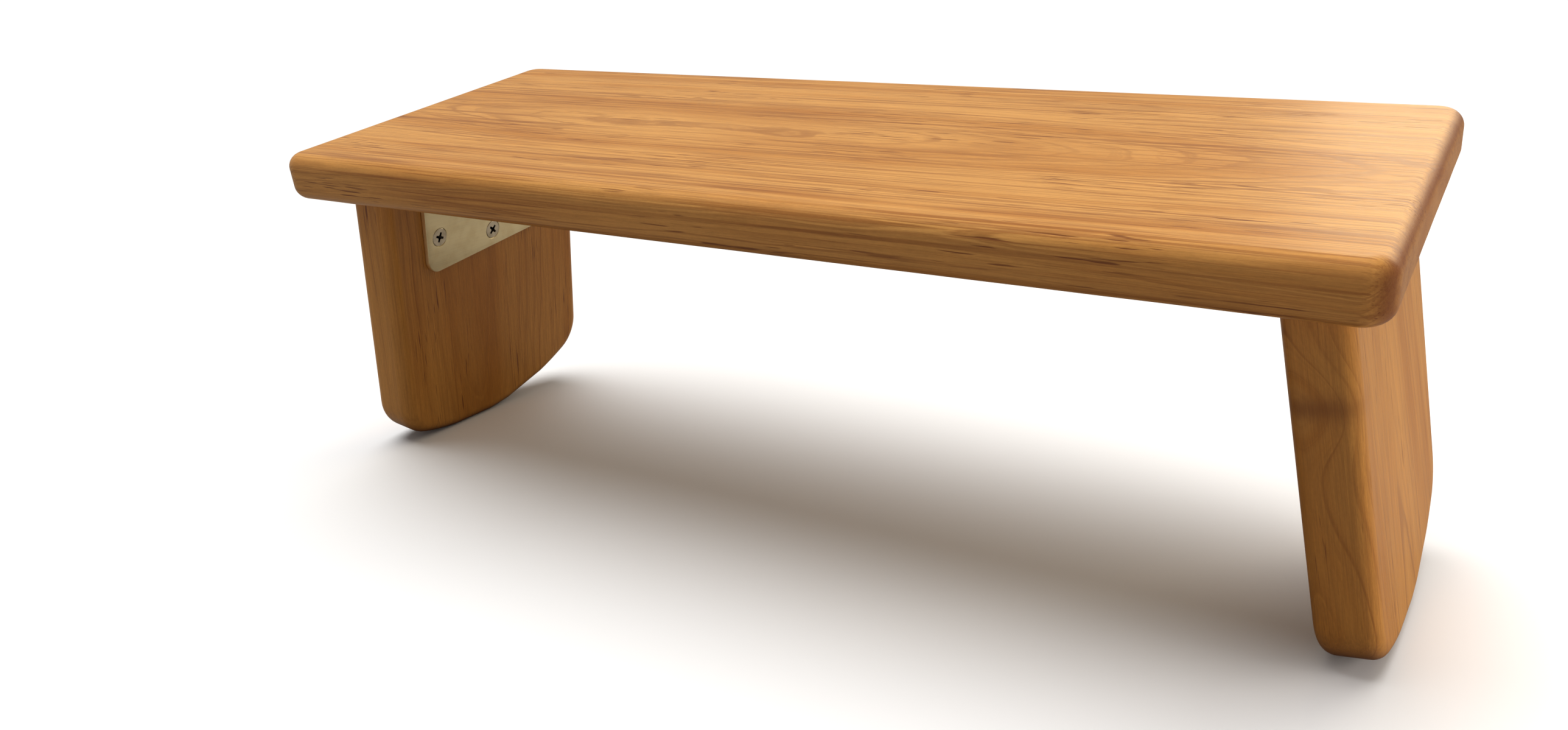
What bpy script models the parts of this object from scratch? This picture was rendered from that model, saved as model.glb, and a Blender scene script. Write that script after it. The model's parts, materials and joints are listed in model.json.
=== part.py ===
"""Folding kneeling bench: a tilted seat board on two splayed rocker legs.

Each leg folds flat under the seat on one brass butt hinge.  The model is in
metres with +Z up, X along the seat, +Y to the back and the floor at Z = 0.
The bench stands open, on its feet, with the seat's front edge low.

Everything is laid out in the seat's own frame, which an empty carries: its
origin is the middle of the seat's underside, and it leans by SEAT_TILT.
"""

import bmesh
import bpy
from math import asin, atan2, cos, pi, radians, sin, tan
from mathutils import Matrix, Vector

# ---------------------------------------------------------------- sizes
# Seat board.
SEAT_LENGTH = 0.4572
SEAT_DEPTH = 0.1728
SEAT_THICKNESS = 0.0208
SEAT_CORNER_RADIUS = 0.0100
SEAT_ROUND_OVER = 0.00635
SEAT_TILT = radians(8.0)

# Legs: plain boards that splay outwards and end in a rocker arc.
LEG_WIDTH = 0.1325
LEG_THICKNESS = 0.0220
LEG_SPLAY = radians(9.0)
LEG_END_SETBACK = 0.0138      # seat end to the leg's outer face, at the top
LEG_BACKSET = 0.0025          # leg's middle behind the seat's middle
LEG_ROUND_OVER = 0.0058
ROCKER_RADIUS = 0.1473        # centred in the plane of the seat's underside
REST_FLAT = 0.0270            # length of the flats in the sole it stands on
FOOT_CORNER_RADIUS = 0.0200

# Hinge: a plain butt hinge, screwed into the inner corner.
HINGE_LENGTH = 0.0889
LEAF_REACH = 0.04445          # pin axis to the leaf's outer edge
LEAF_THICKNESS = 0.0023
LEAF_CORNER_RADIUS = 0.00635
KNUCKLE_RADIUS = 0.00635
KNUCKLE_COUNT = 5
PIN_RADIUS = 0.0032
PIN_HEAD_STEP = 0.00035       # knuckles' outside to the edge of the pin's head
PIN_HEAD_HEIGHT = 0.0032
TIP_PLUG_LENGTH = 0.0080      # spigot of the tip that closes the lower end

# Countersunk screws, three to a leaf, the middle one further from the pin.
SCREW_HEAD_RADIUS = 0.0045
SCREW_SHANK_RADIUS = 0.0022
SCREW_LENGTH = 0.0190
SCREW_POINT_LENGTH = 0.0045
SCREW_HEAD_ANGLE = radians(82.0)
SCREW_END_MARGIN = 0.00825    # leaf's end to the outer screws
SCREW_EDGE_MARGIN = 0.0084    # leaf's outer edge to the middle screw
SCREW_STAGGER = 0.0088        # how much nearer the pin the outer screws are
RECESS_ARM = 0.0023
RECESS_HALF_SLOT = 0.00055
RECESS_DEPTH = 0.0019
RECESS_BOTTOM_SHARE = 0.40

GAP = 0.0003                  # between pieces that touch
KNUCKLE_GAP = 0.0003
NOTCH_GAP = 0.0008            # leaf's edge to the other leaf's knuckles

# ---------------------------------------------------------------- facets
EDGE_STEPS = 5
CORNER_STEPS = 8
FOOT_CORNER_STEPS = 5
SOLE_END_STEPS = 2
KNUCKLE_STEPS = 32
SCREW_STEPS = 24

# ---------------------------------------------------------------- derived
# The feet stand on the rounded inner edge of their soles.  One facet of that
# edge lies flat on the floor when the seat has its tilt: seen from the leg,
# straight down leans REST_ROLL to the front and REST_EDGE to the inside.  A
# leg is the same front and back, so its sole has this flat on either side.
REST_ROLL = atan2(tan(SEAT_TILT), cos(LEG_SPLAY))
REST_EDGE = asin(cos(SEAT_TILT) * sin(LEG_SPLAY))
FLAT_HALF_ANGLE = asin(REST_FLAT / 2 / ROCKER_RADIUS)
SEAT_HEIGHT = (ROCKER_RADIUS * cos(REST_EDGE) * cos(FLAT_HALF_ANGLE)
               - LEG_ROUND_OVER * sin(REST_EDGE)
               - LEG_BACKSET * sin(SEAT_TILT))

# The knuckles just clear both boards, so the pin is this far from each.
PIN_STANDOFF = KNUCKLE_RADIUS + GAP
LEG_ROOT = PIN_STANDOFF * (1 - sin(LEG_SPLAY)) / cos(LEG_SPLAY)
LEG_INNER_X = (SEAT_LENGTH / 2 - LEG_END_SETBACK
               - LEG_THICKNESS / cos(LEG_SPLAY))
PIN_X = (LEG_INNER_X + LEG_ROOT * sin(LEG_SPLAY)
         - PIN_STANDOFF * cos(LEG_SPLAY))
PIN_Z = -PIN_STANDOFF
PIN_HEAD_RADIUS = KNUCKLE_RADIUS - PIN_HEAD_STEP
BORE_RADIUS = PIN_RADIUS + GAP
LEAF_FRONT = KNUCKLE_RADIUS - LEAF_THICKNESS
NOTCH_REACH = KNUCKLE_RADIUS + NOTCH_GAP
KNUCKLE_PITCH = HINGE_LENGTH / KNUCKLE_COUNT

SCREW_FAR = LEAF_REACH - SCREW_EDGE_MARGIN
SCREW_NEAR = SCREW_FAR - SCREW_STAGGER
SCREW_Y = HINGE_LENGTH / 2 - SCREW_END_MARGIN
SCREW_HEAD_DEPTH = ((SCREW_HEAD_RADIUS - SCREW_SHANK_RADIUS)
                    / tan(SCREW_HEAD_ANGLE / 2))
SCREW_PLACES = (("front", SCREW_NEAR, -SCREW_Y),
                ("middle", SCREW_FAR, 0.0),
                ("back", SCREW_NEAR, SCREW_Y))

SIDES = (("left", -1), ("right", 1))


# ---------------------------------------------------------------- helpers
def clear_scene():
    """Remove whatever the file opened with."""
    for obj in list(bpy.data.objects):
        bpy.data.objects.remove(obj, do_unlink=True)


def make_material(name, colour, roughness, metallic):
    """A plain Principled material."""
    material = bpy.data.materials.new(name)
    material.use_nodes = True
    shader = material.node_tree.nodes["Principled BSDF"]
    shader.inputs["Base Color"].default_value = (*colour, 1.0)
    shader.inputs["Roughness"].default_value = roughness
    shader.inputs["Metallic"].default_value = metallic
    material.diffuse_color = (*colour, 1.0)
    return material


def make_empty(name, parent, location, rotation=(0.0, 0.0, 0.0)):
    """An axis or frame that other objects hang from."""
    empty = bpy.data.objects.new(name, None)
    empty.empty_display_size = 0.02
    empty.parent = parent
    empty.location = location
    empty.rotation_euler = rotation
    bpy.context.collection.objects.link(empty)
    return empty


def make_object(name, bm, material, parent, location=(0.0, 0.0, 0.0),
                rotation=(0.0, 0.0, 0.0), smooth_angle=35.0):
    """Turn a bmesh into a linked, smooth-shaded object."""
    bmesh.ops.recalc_face_normals(bm, faces=bm.faces)
    mesh = bpy.data.meshes.new(name)
    bm.to_mesh(mesh)
    bm.free()
    mesh.shade_smooth()
    mesh.set_sharp_from_angle(angle=radians(smooth_angle))
    if material is not None:
        mesh.materials.append(material)
    obj = bpy.data.objects.new(name, mesh)
    obj.parent = parent
    obj.location = location
    obj.rotation_euler = rotation
    bpy.context.collection.objects.link(obj)
    return obj


def make_cutter(name, bm, parent, location=(0.0, 0.0, 0.0),
                rotation=(0.0, 0.0, 0.0)):
    """A shape that only cuts others."""
    cutter = make_object(name, bm, None, parent, location, rotation)
    cutter.hide_render = True
    cutter.display_type = "WIRE"
    return cutter


def add_boolean(obj, cutter, operation="DIFFERENCE"):
    """Cut obj with cutter."""
    modifier = obj.modifiers.new(cutter.name, "BOOLEAN")
    modifier.object = cutter
    modifier.operation = operation
    modifier.solver = "EXACT"


def arc(centre, radius, start, end, steps):
    """Points on a circle in a plane, both ends included."""
    angles = [start + (end - start) * i / steps for i in range(steps + 1)]
    return [(centre[0] + radius * cos(a), centre[1] + radius * sin(a))
            for a in angles]


def round_over(span, radius, last_step=pi / 2 / EDGE_STEPS):
    """Stations across a board: (distance from one face, edge inset).

    The quarter circle's last step, which meets the edge, may have its own
    angle.
    """
    even = EDGE_STEPS - 1
    quarter = [(pi / 2 - last_step) * i / even for i in range(even + 1)]
    quarter.append(pi / 2)
    first = [(radius * (1 - cos(a)), radius * (1 - sin(a))) for a in quarter]
    last = [(span - depth, inset) for depth, inset in reversed(first)]
    return first + last


def loft(rings):
    """Close a stack of equal rings of points into one solid."""
    bm = bmesh.new()
    loops = []
    for ring in rings:
        verts = [bm.verts.new(point) for point in ring]
        count = len(verts)
        edges = [bm.edges.new((verts[i], verts[(i + 1) % count]))
                 for i in range(count)]
        loops.append((verts, edges))
    for (lower, _), (upper, _) in zip(loops, loops[1:]):
        count = len(lower)
        for i in range(count):
            j = (i + 1) % count
            bm.faces.new((lower[i], lower[j], upper[j], upper[i]))
    bm.faces.new(loops[0][0])
    bm.faces.new(loops[-1][0])
    return bm


def turn(profile, steps):
    """Spin a profile of (radius, height) about Z; its ends are on the axis."""
    bm = bmesh.new()
    verts = [bm.verts.new((radius, 0.0, height)) for radius, height in profile]
    edges = [bm.edges.new(pair) for pair in zip(verts, verts[1:])]
    bmesh.ops.spin(bm, geom=verts + edges, cent=(0, 0, 0), axis=(0, 0, 1),
                   angle=2 * pi, steps=steps, use_duplicate=False)
    bmesh.ops.remove_doubles(bm, verts=bm.verts, dist=0.00001)
    return bm


def merge(target, source, matrix):
    """Add a moved copy of one bmesh to another, and free the copy."""
    source.transform(matrix)
    mesh = bpy.data.meshes.new("merge")
    source.to_mesh(mesh)
    source.free()
    target.from_mesh(mesh)
    bpy.data.meshes.remove(mesh)


def rounded_rectangle(length, width, radius, inset):
    """Outline round the origin, drawn in by inset."""
    points = []
    for quadrant, (sx, sy) in enumerate(((1, 1), (-1, 1), (-1, -1), (1, -1))):
        centre = (sx * (length / 2 - radius), sy * (width / 2 - radius))
        start = quadrant * pi / 2
        points += arc(centre, radius - inset, start, start + pi / 2,
                      CORNER_STEPS)
    return points


# ---------------------------------------------------------------- boards
def seat_solid():
    """The seat board, on the seat frame's origin plane."""
    rings = []
    for height, inset in round_over(SEAT_THICKNESS, SEAT_ROUND_OVER):
        outline = rounded_rectangle(SEAT_LENGTH, SEAT_DEPTH,
                                    SEAT_CORNER_RADIUS, inset)
        rings.append([(x, y, height) for x, y in outline])
    return loft(rings)


def leg_outline(depth, inset):
    """A leg's outline at one depth, as (distance down the leg, along Y).

    Distances are from the pin.  The sides are straight and the sole is an
    arc with two flats; the top end is cut on the slant that meets the seat's
    underside.
    """
    half = LEG_WIDTH / 2
    top = (PIN_Z + GAP + depth * sin(LEG_SPLAY)) / cos(LEG_SPLAY)
    corner_y = half - FOOT_CORNER_RADIUS
    corner_reach = ROCKER_RADIUS - FOOT_CORNER_RADIUS
    corner_angle = asin(corner_y / corner_reach)
    corner_x = corner_reach * cos(corner_angle) - LEG_ROOT
    corner_radius = FOOT_CORNER_RADIUS - inset
    sole_radius = ROCKER_RADIUS - inset

    front = arc((corner_x, -corner_y), corner_radius,
                -pi / 2, -corner_angle, FOOT_CORNER_STEPS)
    back = arc((corner_x, corner_y), corner_radius,
               corner_angle, pi / 2, FOOT_CORNER_STEPS)
    far = REST_ROLL + FLAT_HALF_ANGLE
    near = REST_ROLL - FLAT_HALF_ANGLE
    centre = (-LEG_ROOT, 0.0)
    sole = (arc(centre, sole_radius, -corner_angle, -far, SOLE_END_STEPS)[1:]
            + arc(centre, sole_radius, -near, near, 1)
            + arc(centre, sole_radius, far, corner_angle,
                  SOLE_END_STEPS)[:-1])
    return front + sole + back + [(top, half - inset), (top, -half + inset)]


def leg_solid():
    """A leg board in its leaf's frame: +X down the leg, +Z outwards."""
    rings = []
    stations = round_over(LEG_THICKNESS, LEG_ROUND_OVER, 2 * REST_EDGE)
    for station, inset in stations:
        depth = PIN_STANDOFF + station
        rings.append([(x, y, depth) for x, y in leg_outline(depth, inset)])
    return loft(rings)


# ---------------------------------------------------------------- screws
def screw_profile(clearance):
    """A countersunk screw's (radius, height), the head's face at zero."""
    shank = SCREW_SHANK_RADIUS + clearance
    tip = SCREW_LENGTH + clearance
    return [(0.0, -clearance),
            (SCREW_HEAD_RADIUS + clearance, -clearance),
            (SCREW_HEAD_RADIUS + clearance, 0.0),
            (shank, SCREW_HEAD_DEPTH),
            (shank, tip - SCREW_POINT_LENGTH),
            (0.0, tip)]


def screw_solid():
    """One screw, pointing up +Z, its head's face at zero."""
    profile = screw_profile(0.0)
    return turn([profile[0]] + profile[2:], SCREW_STEPS)


def recess_cutter_solid():
    """The tapered cross of a driver's tip, above and below the head's face."""
    arm, slot = RECESS_ARM, RECESS_HALF_SLOT
    cross = [(arm, slot), (slot, slot), (slot, arm), (-slot, arm),
             (-slot, slot), (-arm, slot), (-arm, -slot), (-slot, -slot),
             (-slot, -arm), (slot, -arm), (slot, -slot), (arm, -slot)]
    rings = []
    for height in (-RECESS_DEPTH / 2, RECESS_DEPTH):
        share = (RECESS_DEPTH - height) / RECESS_DEPTH
        scale = RECESS_BOTTOM_SHARE + (1 - RECESS_BOTTOM_SHARE) * share
        rings.append([(x * scale, y * scale, height) for x, y in cross])
    return loft(rings)


def screw_hole_solids():
    """Clearance for a leaf's three screws, in the leaf's frame."""
    holes = bmesh.new()
    for _, reach, along in SCREW_PLACES:
        hole = turn(screw_profile(GAP), SCREW_STEPS)
        place = Matrix.Translation((reach, along, LEAF_FRONT))
        merge(holes, hole, place)
    return holes


# ---------------------------------------------------------------- hinges
def leaf_blank():
    """Leaf and full-length barrel, drawn as one profile along Y.

    In the leaf's frame the pin is on the Y axis, +X runs out along the leaf
    and +Z faces the board, which the leaf and the barrel both just clear.
    """
    meet = asin(LEAF_FRONT / KNUCKLE_RADIUS)
    barrel = arc((0.0, 0.0), KNUCKLE_RADIUS, pi / 2, 2 * pi + meet,
                 KNUCKLE_STEPS)
    plate = [(LEAF_REACH, LEAF_FRONT), (LEAF_REACH, KNUCKLE_RADIUS)]
    outline = barrel + plate
    half = HINGE_LENGTH / 2
    return loft([[(x, y, z) for x, z in outline] for y in (-half, half)])


def leaf_corner_solid():
    """Keeps what lies inside the leaf's rounded outer corners."""
    half = HINGE_LENGTH / 2
    height = 2 * KNUCKLE_RADIUS
    inner = -2 * KNUCKLE_RADIUS
    centre_x = LEAF_REACH - LEAF_CORNER_RADIUS
    centre_y = half - LEAF_CORNER_RADIUS
    outline = arc((centre_x, -centre_y), LEAF_CORNER_RADIUS,
                  -pi / 2, 0.0, CORNER_STEPS)
    outline += arc((centre_x, centre_y), LEAF_CORNER_RADIUS,
                   0.0, pi / 2, CORNER_STEPS)
    outline += [(inner, half), (inner, -half)]
    return loft([[(x, y, z) for x, y in outline] for z in (-height, height)])


def knuckle_gap_solids(owned):
    """Room for the other leaf's knuckles; owned lists this leaf's own."""
    gaps = bmesh.new()
    half = HINGE_LENGTH / 2
    tall = 2 * KNUCKLE_RADIUS
    for index in range(KNUCKLE_COUNT):
        if index in owned:
            continue
        low = -half + index * KNUCKLE_PITCH - KNUCKLE_GAP / 2
        high = low + KNUCKLE_PITCH + KNUCKLE_GAP
        if index == 0:
            low -= tall
        if index == KNUCKLE_COUNT - 1:
            high += tall
        size = (NOTCH_REACH + tall, high - low, 2 * tall)
        middle = (NOTCH_REACH - size[0] / 2, (low + high) / 2, 0.0)
        box = bmesh.new()
        bmesh.ops.create_cube(box, size=1.0)
        merge(gaps, box, Matrix.LocRotScale(middle, None, Vector(size)))
    return gaps


def bore_solid():
    """The pin's bore, along Y, longer than the barrel."""
    bm = bmesh.new()
    bmesh.ops.create_cone(bm, cap_ends=True, segments=KNUCKLE_STEPS,
                          radius1=BORE_RADIUS, radius2=BORE_RADIUS,
                          depth=HINGE_LENGTH * 1.2)
    bm.transform(Matrix.Rotation(pi / 2, 4, "X"))
    return bm


def add_leaf(name, owned, material, parent, rotation):
    """A leaf with its knuckles, bore and countersunk holes."""
    leaf = make_object(name, leaf_blank(), material, parent,
                       rotation=rotation)
    corners = make_cutter(name + "_corners", leaf_corner_solid(), leaf)
    gaps = make_cutter(name + "_gaps", knuckle_gap_solids(owned), leaf)
    bore = make_cutter(name + "_bore", bore_solid(), leaf)
    holes = make_cutter(name + "_holes", screw_hole_solids(), leaf)
    add_boolean(leaf, corners, "INTERSECT")
    for cutter in (gaps, bore, holes):
        add_boolean(leaf, cutter)
    return leaf, holes


def add_screws(prefix, material, leaf, turned):
    """Three screws in a leaf, each with its cross at its own angle."""
    for index, (place, reach, along) in enumerate(SCREW_PLACES):
        where = (reach, -along if turned else along, LEAF_FRONT)
        name = f"{prefix}_screw_{place}"
        cross_angle = radians(17.0 + 29.0 * index)
        screw = make_object(name, screw_solid(), material, leaf, where,
                            (0.0, 0.0, cross_angle))
        recess = make_cutter(name + "_recess", recess_cutter_solid(), screw)
        add_boolean(screw, recess)


def pin_solid():
    """The pin, along Y: its head in front, its end short of the tip plug."""
    half = HINGE_LENGTH / 2
    end = half - TIP_PLUG_LENGTH - GAP
    head = -half - GAP
    crown = head - PIN_HEAD_HEIGHT
    bevel = PIN_HEAD_HEIGHT * 0.3
    profile = [(0.0, crown),
               (PIN_HEAD_RADIUS - bevel, crown),
               (PIN_HEAD_RADIUS, crown + bevel),
               (PIN_HEAD_RADIUS, head),
               (PIN_RADIUS, head),
               (PIN_RADIUS, end),
               (0.0, end)]
    bm = turn(profile, KNUCKLE_STEPS)
    bm.transform(Matrix.Rotation(-pi / 2, 4, "X"))
    return bm


def tip_solid():
    """The tip that plugs the barrel's other end."""
    half = HINGE_LENGTH / 2
    foot = half + GAP
    crown = foot + PIN_HEAD_HEIGHT
    bevel = PIN_HEAD_HEIGHT * 0.3
    profile = [(0.0, half - TIP_PLUG_LENGTH),
               (PIN_RADIUS, half - TIP_PLUG_LENGTH),
               (PIN_RADIUS, foot),
               (PIN_HEAD_RADIUS, foot),
               (PIN_HEAD_RADIUS, crown - bevel),
               (PIN_HEAD_RADIUS - bevel, crown),
               (0.0, crown)]
    bm = turn(profile, KNUCKLE_STEPS)
    bm.transform(Matrix.Rotation(-pi / 2, 4, "X"))
    return bm


# ---------------------------------------------------------------- assembly
def build():
    """Make every piece and hang it in its place."""
    clear_scene()
    wood_top = make_material("seat_wood", (0.52, 0.27, 0.10), 0.42, 0.0)
    wood_leg = make_material("leg_wood", (0.46, 0.23, 0.09), 0.45, 0.0)
    leaf_brass = make_material("leaf_brass", (0.69, 0.62, 0.36), 0.38, 1.0)
    pin_brass = make_material("pin_brass", (0.66, 0.57, 0.32), 0.32, 1.0)
    screw_brass = make_material("screw_brass", (0.60, 0.54, 0.36), 0.35, 1.0)

    lean = (0.0, SEAT_THICKNESS / 2 * sin(SEAT_TILT), SEAT_HEIGHT)
    frame = make_empty("seat_frame", None, lean, (SEAT_TILT, 0.0, 0.0))
    seat = make_object("seat_board", seat_solid(), wood_top, frame)

    for name, side in SIDES:
        # A leaf's frame runs out along the leaf, so one of the pair on each
        # side is turned half round.
        on_right = side > 0
        hinge = (side * PIN_X, LEG_BACKSET, PIN_Z)
        along_seat = (0.0, 0.0, pi if on_right else 0.0)
        down_leg = (0.0, pi / 2 - LEG_SPLAY, 0.0 if on_right else pi)
        fixed = make_empty(f"{name}_hinge_fixed", frame, hinge)
        axis = make_empty(f"{name}_leg_axis", frame, hinge)

        leaf, holes = add_leaf(f"{name}_hinge_seat_leaf", (0, 2, 4),
                               leaf_brass, fixed, along_seat)
        add_boolean(seat, holes)
        add_screws(f"{name}_seat", screw_brass, leaf, on_right)
        make_object(f"{name}_hinge_pin", pin_solid(), pin_brass, fixed)
        make_object(f"{name}_hinge_tip", tip_solid(), pin_brass, fixed)

        leg = make_object(f"{name}_leg", leg_solid(), wood_leg, axis,
                          rotation=down_leg)
        leaf, holes = add_leaf(f"{name}_hinge_leg_leaf", (1, 3),
                               leaf_brass, axis, down_leg)
        add_boolean(leg, holes)
        add_screws(f"{name}_leg", screw_brass, leaf, not on_right)


build()
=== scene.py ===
# %% [markdown]
# # A folding kneeling bench
#
# The bench is five things: a seat board, two splayed legs with rocker soles,
# and a brass butt hinge in each inner corner that lets a leg fold flat.
# The design comes packed as a fixed frame.  This file gives it its looks:
# finer shapes of the same size, wood and brass made from nodes, and a plain
# studio around it.

# %% Load the frame
import json
from math import acos, asin, atan2, cos, hypot, pi, radians, sin, tan

import bmesh
import bpy
from mathutils import Matrix, Vector, noise


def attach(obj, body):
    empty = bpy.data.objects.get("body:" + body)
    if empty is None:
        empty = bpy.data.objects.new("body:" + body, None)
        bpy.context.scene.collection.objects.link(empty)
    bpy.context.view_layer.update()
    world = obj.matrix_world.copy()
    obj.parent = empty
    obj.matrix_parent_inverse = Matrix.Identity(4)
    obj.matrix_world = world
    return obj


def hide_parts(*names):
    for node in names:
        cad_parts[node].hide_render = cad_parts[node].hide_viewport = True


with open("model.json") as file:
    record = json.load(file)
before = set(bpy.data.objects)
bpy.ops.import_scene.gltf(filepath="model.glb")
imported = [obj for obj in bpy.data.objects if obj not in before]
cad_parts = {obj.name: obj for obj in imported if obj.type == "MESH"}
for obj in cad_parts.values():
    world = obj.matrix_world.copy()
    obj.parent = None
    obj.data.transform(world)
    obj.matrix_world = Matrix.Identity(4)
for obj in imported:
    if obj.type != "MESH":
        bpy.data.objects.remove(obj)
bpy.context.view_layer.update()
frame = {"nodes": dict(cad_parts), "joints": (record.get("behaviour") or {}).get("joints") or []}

NODES = frame["nodes"]

# %% [markdown]
# ## Finding each board's own axes
#
# The seat leans and the legs splay, so the world's axes are no help when a
# board is shaped or when grain is laid along it.  Each board's axes could be
# typed in again, but then they could drift from the design.  Here they are
# read from it: the pins give the direction across, and the widest facet of
# a board gives its face.

# %% Board axes from the frame
SIDES = (("left", -1), ("right", 1))
PINS = {joint["child"]: Vector(joint["pos_m"]) for joint in frame["joints"]}
PIN_LINE = Vector(frame["joints"][0]["axis"]).normalized()
PIN_LINE *= 1 if PIN_LINE.y > 0 else -1


def face_normal(node, towards):
    """The normal of a node's widest facet among those facing one way."""
    faces = [f for f in NODES[node].data.polygons if f.normal.dot(towards) > 0.5]
    return max(faces, key=lambda f: f.area).normal.copy()


def axes(origin, x, y, z):
    """A matrix that turns a board's own coordinates into the frame's."""
    columns = Matrix((x.normalized(), y.normalized(), z.normalized()))
    return Matrix.Translation(origin) @ columns.transposed().to_4x4()


SEAT_UP = face_normal("seat_board", Vector((0, 0, 1)))
SEAT_AXES = axes((PINS["left_leg"] + PINS["right_leg"]) / 2,
                 Vector((1, 0, 0)), PIN_LINE, SEAT_UP)
LEAF_AXES = {}
for name, side in SIDES:
    pin = PINS[f"{name}_leg"]
    inwards = Vector((-side, 0, 0))
    LEAF_AXES[f"{name}_hinge_seat_leaf"] = axes(
        pin, inwards, SEAT_UP.cross(inwards), SEAT_UP)
    outwards = face_normal(f"{name}_leg", Vector((side, 0, 0)))
    across = side * PIN_LINE
    LEAF_AXES[f"{name}_hinge_leg_leaf"] = axes(
        pin, across.cross(outwards), across, outwards)
LEG_AXES = {name: LEAF_AXES[f"{name}_hinge_leg_leaf"] for name, _ in SIDES}


def measured(node, matrix, keep=lambda point: True):
    """A node's lowest and highest corner along a board's own axes."""
    inverse = matrix.inverted()
    points = [inverse @ v.co for v in NODES[node].data.vertices]
    points = [p for p in points if keep(p)]
    return (Vector([min(p[i] for p in points) for i in range(3)]),
            Vector([max(p[i] for p in points) for i in range(3)]))


SEAT_LOW, SEAT_HIGH = measured("seat_board", SEAT_AXES)
LEG_LOW, LEG_HIGH = measured("right_leg", LEG_AXES["right"])
LEAF_LOW, LEAF_HIGH = measured("right_hinge_leg_leaf", LEG_AXES["right"])
print("seat, mm:", [round(1000 * v, 1) for v in SEAT_HIGH - SEAT_LOW])
print("leg, mm:", [round(1000 * v, 1) for v in LEG_HIGH - LEG_LOW])

# %% [markdown]
# ## The camera
#
# A low wide-angle view from the front right, a little above the seat.  It
# is set first, so that every later look at the work is from the same place.
# The lens is slightly off centre, which a small shift stands for.

# %% Camera
LENS_MM = 29.42
SENSOR_MM = 36.0
LENS_SHIFT = -0.0134
CAMERA_FROM_SEAT = Vector((0.26308, -0.45249, 0.07487))
CAMERA_TURN = radians(31.84)
CAMERA_DOWN = radians(17.50)
CAMERA_ROLL = radians(-1.32)

seat_centre = SEAT_AXES @ Vector((0.0, (SEAT_LOW.y + SEAT_HIGH.y) / 2, SEAT_HIGH.z))
camera_data = bpy.data.cameras.new("camera")
camera_data.lens = LENS_MM
camera_data.sensor_width = SENSOR_MM
camera_data.shift_y = LENS_SHIFT
camera_data.clip_start = 0.01
camera = bpy.data.objects.new("camera", camera_data)
camera.matrix_world = (Matrix.Translation(seat_centre + CAMERA_FROM_SEAT)
                       @ Matrix.Rotation(CAMERA_TURN, 4, "Z")
                       @ Matrix.Rotation(pi / 2 - CAMERA_DOWN, 4, "X")
                       @ Matrix.Rotation(CAMERA_ROLL, 4, "Z"))
bpy.context.scene.collection.objects.link(camera)
bpy.context.scene.camera = camera
print("camera at", [round(v, 3) for v in camera.location])

# %% [markdown]
# ## Small helpers for node trees
#
# A tree written out call by call is long.  These few helpers put a node in,
# and accept either a number or another node's output for each input, so a
# formula reads almost like a formula.  Each finds its tree from the outputs
# that it is given.


# %% Node helpers
def feed(socket, value):
    """Link an output into a socket, or set the socket's own value."""
    if isinstance(value, bpy.types.NodeSocket):
        socket.id_data.links.new(value, socket)
    else:
        socket.default_value = value


def tree_of(*values):
    """The tree of the first value that is a node's socket."""
    return next(v.id_data for v in values if isinstance(v, bpy.types.NodeSocket))


def put(tree, kind, inputs=None, **settings):
    """Add a node, with its settings and its inputs."""
    made = tree.nodes.new(kind)
    for key, value in settings.items():
        setattr(made, key, value)
    for key, value in (inputs or {}).items():
        feed(made.inputs[key], value)
    return made


def maths(operation, *values, clamp=False):
    """A Math node's result."""
    made = put(tree_of(*values), "ShaderNodeMath", dict(enumerate(values)),
               operation=operation, use_clamp=clamp)
    return made.outputs[0]


def vectors(operation, *values):
    """A Vector Math node's result."""
    made = put(tree_of(*values), "ShaderNodeVectorMath", dict(enumerate(values)),
               operation=operation)
    return made.outputs["Value" if operation == "LENGTH" else "Vector"]


def times(value, factor, plus=None, clamp=False):
    """A value times a factor, and more added to it if asked."""
    if plus is None:
        return maths("MULTIPLY", value, factor, clamp=clamp)
    return maths("MULTIPLY_ADD", value, factor, plus, clamp=clamp)


def bell(distance, steepness):
    """1 at no distance, falling smoothly to 0."""
    return maths("EXPONENT", times(maths("POWER", distance, 2.0), -steepness))


def vector_of(x=0.0, y=0.0, z=0.0):
    """Three numbers as a vector."""
    return put(tree_of(x, y, z), "ShaderNodeCombineXYZ",
               {"X": x, "Y": y, "Z": z}).outputs[0]


def x_of(vector):
    """A vector's first number."""
    return put(tree_of(vector), "ShaderNodeSeparateXYZ",
               {"Vector": vector}).outputs["X"]


def remap(value, low, high, to_low=0.0, to_high=1.0, smooth=True):
    """A Map Range node's result."""
    kind = "SMOOTHSTEP" if smooth else "LINEAR"
    made = put(tree_of(value), "ShaderNodeMapRange",
               {"Value": value, "From Min": low, "From Max": high,
                "To Min": to_low, "To Max": to_high}, interpolation_type=kind)
    return made.outputs["Result"]


def grainy(position, stretch, detail=2.0, offset=(0.0, 0.0, 0.0)):
    """Noise from 0 to 1 whose speckles are 1 / stretch long on each axis."""
    place = put(tree_of(position), "ShaderNodeMapping",
                {"Vector": position, "Scale": stretch, "Location": offset})
    made = put(tree_of(position), "ShaderNodeTexNoise",
               {"Vector": place.outputs[0], "Scale": 1.0, "Detail": detail})
    return made.outputs["Fac"]


def along_line(place, detail=2.0):
    """Noise from 0 to 1 along a single number."""
    made = put(tree_of(place), "ShaderNodeTexNoise",
               {"W": place, "Scale": 1.0, "Detail": detail},
               noise_dimensions="1D")
    return made.outputs["Fac"]


def blend_colour(factor, first, second, blend="MIX"):
    """A Mix node's colour; its sockets 0, 6 and 7 serve colours."""
    made = put(tree_of(factor, first, second), "ShaderNodeMix",
               {0: factor, 6: first, 7: second}, data_type="RGBA", blend_type=blend)
    return made.outputs[2]


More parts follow.
